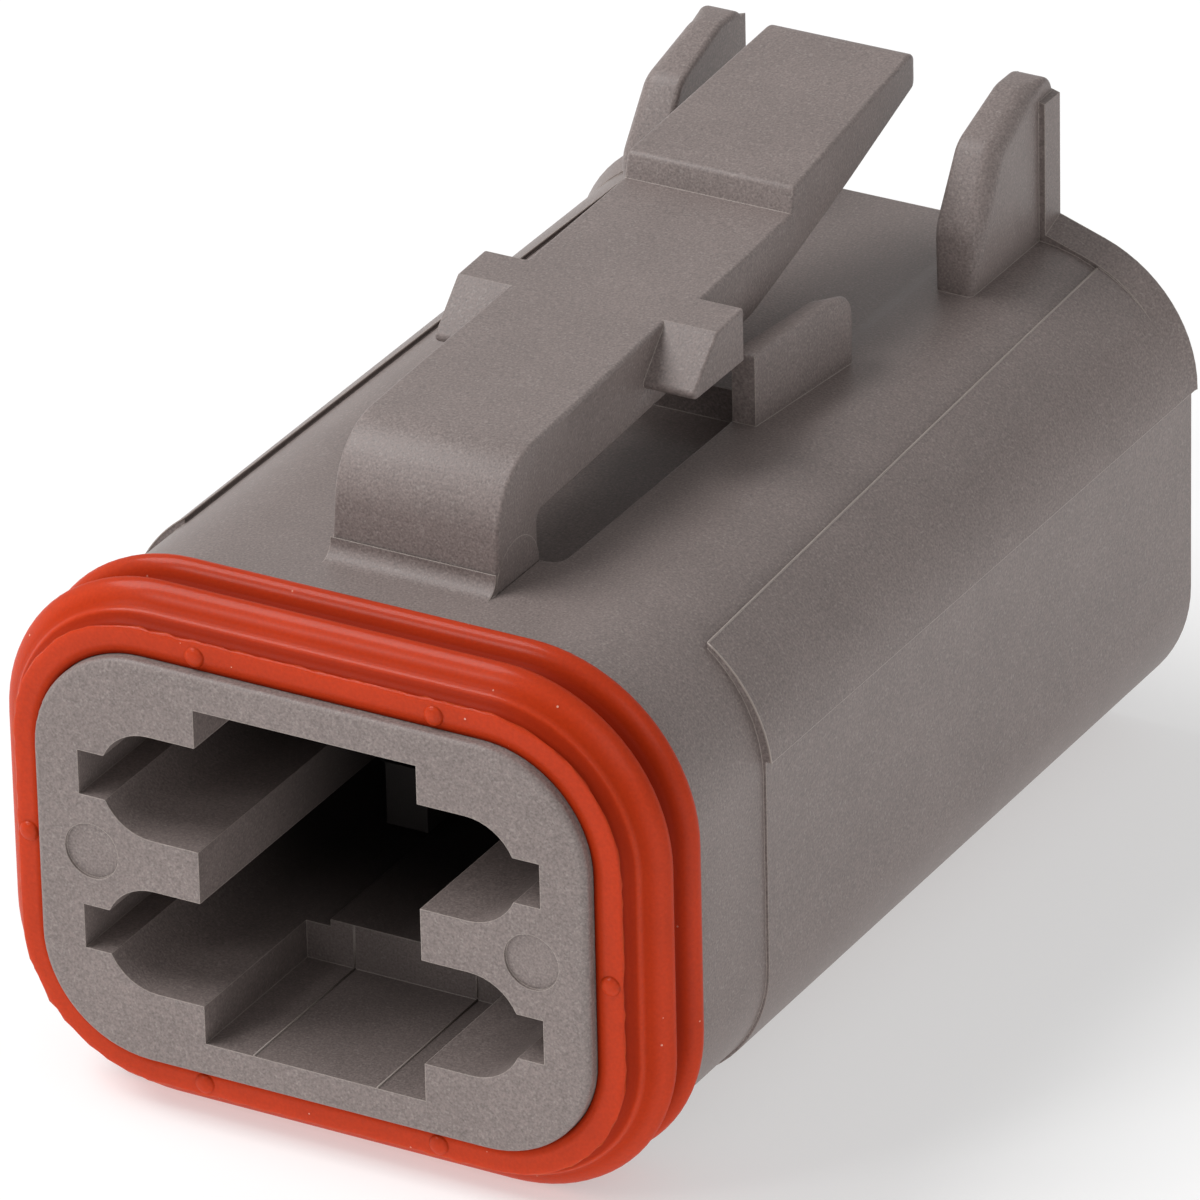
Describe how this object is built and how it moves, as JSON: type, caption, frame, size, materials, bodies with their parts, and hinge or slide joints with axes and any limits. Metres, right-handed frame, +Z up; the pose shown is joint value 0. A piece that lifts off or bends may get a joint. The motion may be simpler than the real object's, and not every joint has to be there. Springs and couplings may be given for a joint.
{
  "type": "sealed automotive wire connector plug",
  "caption": "Sealed wire connector plug with a ribbed seal round its nose, an open wedge cavity and a sprung finger latch on top.",
  "frame": {"origin": "middle of the footprint, level with the lowest rib of the seal", "axes": "+Z up to the latch, -Y out of the mating face, +X to the right seen from the mating face"},
  "size_m": [0.0266, 0.0426, 0.0272],
  "materials": {
    "housing_plastic": "fine matte grain",
    "seal_silicone": "satin silicone"
  },
  "bodies": {
    "shell": {"housing": "housing_plastic", "interface_seal": "seal_silicone", "wire_grommet": "seal_silicone", "grommet_retainer": "housing_plastic"},
    "latch": {"latch_arm": "housing_plastic"}
  },
  "joints": [
    {"name": "latch_flex", "type": "hinge", "parent": "shell", "child": "latch", "pos_m": [0, -0.012, 0.01956], "axis": [-1, 0, 0], "range_deg": [0, 8], "stiffness_Nm_per_rad": 1}
  ]
}
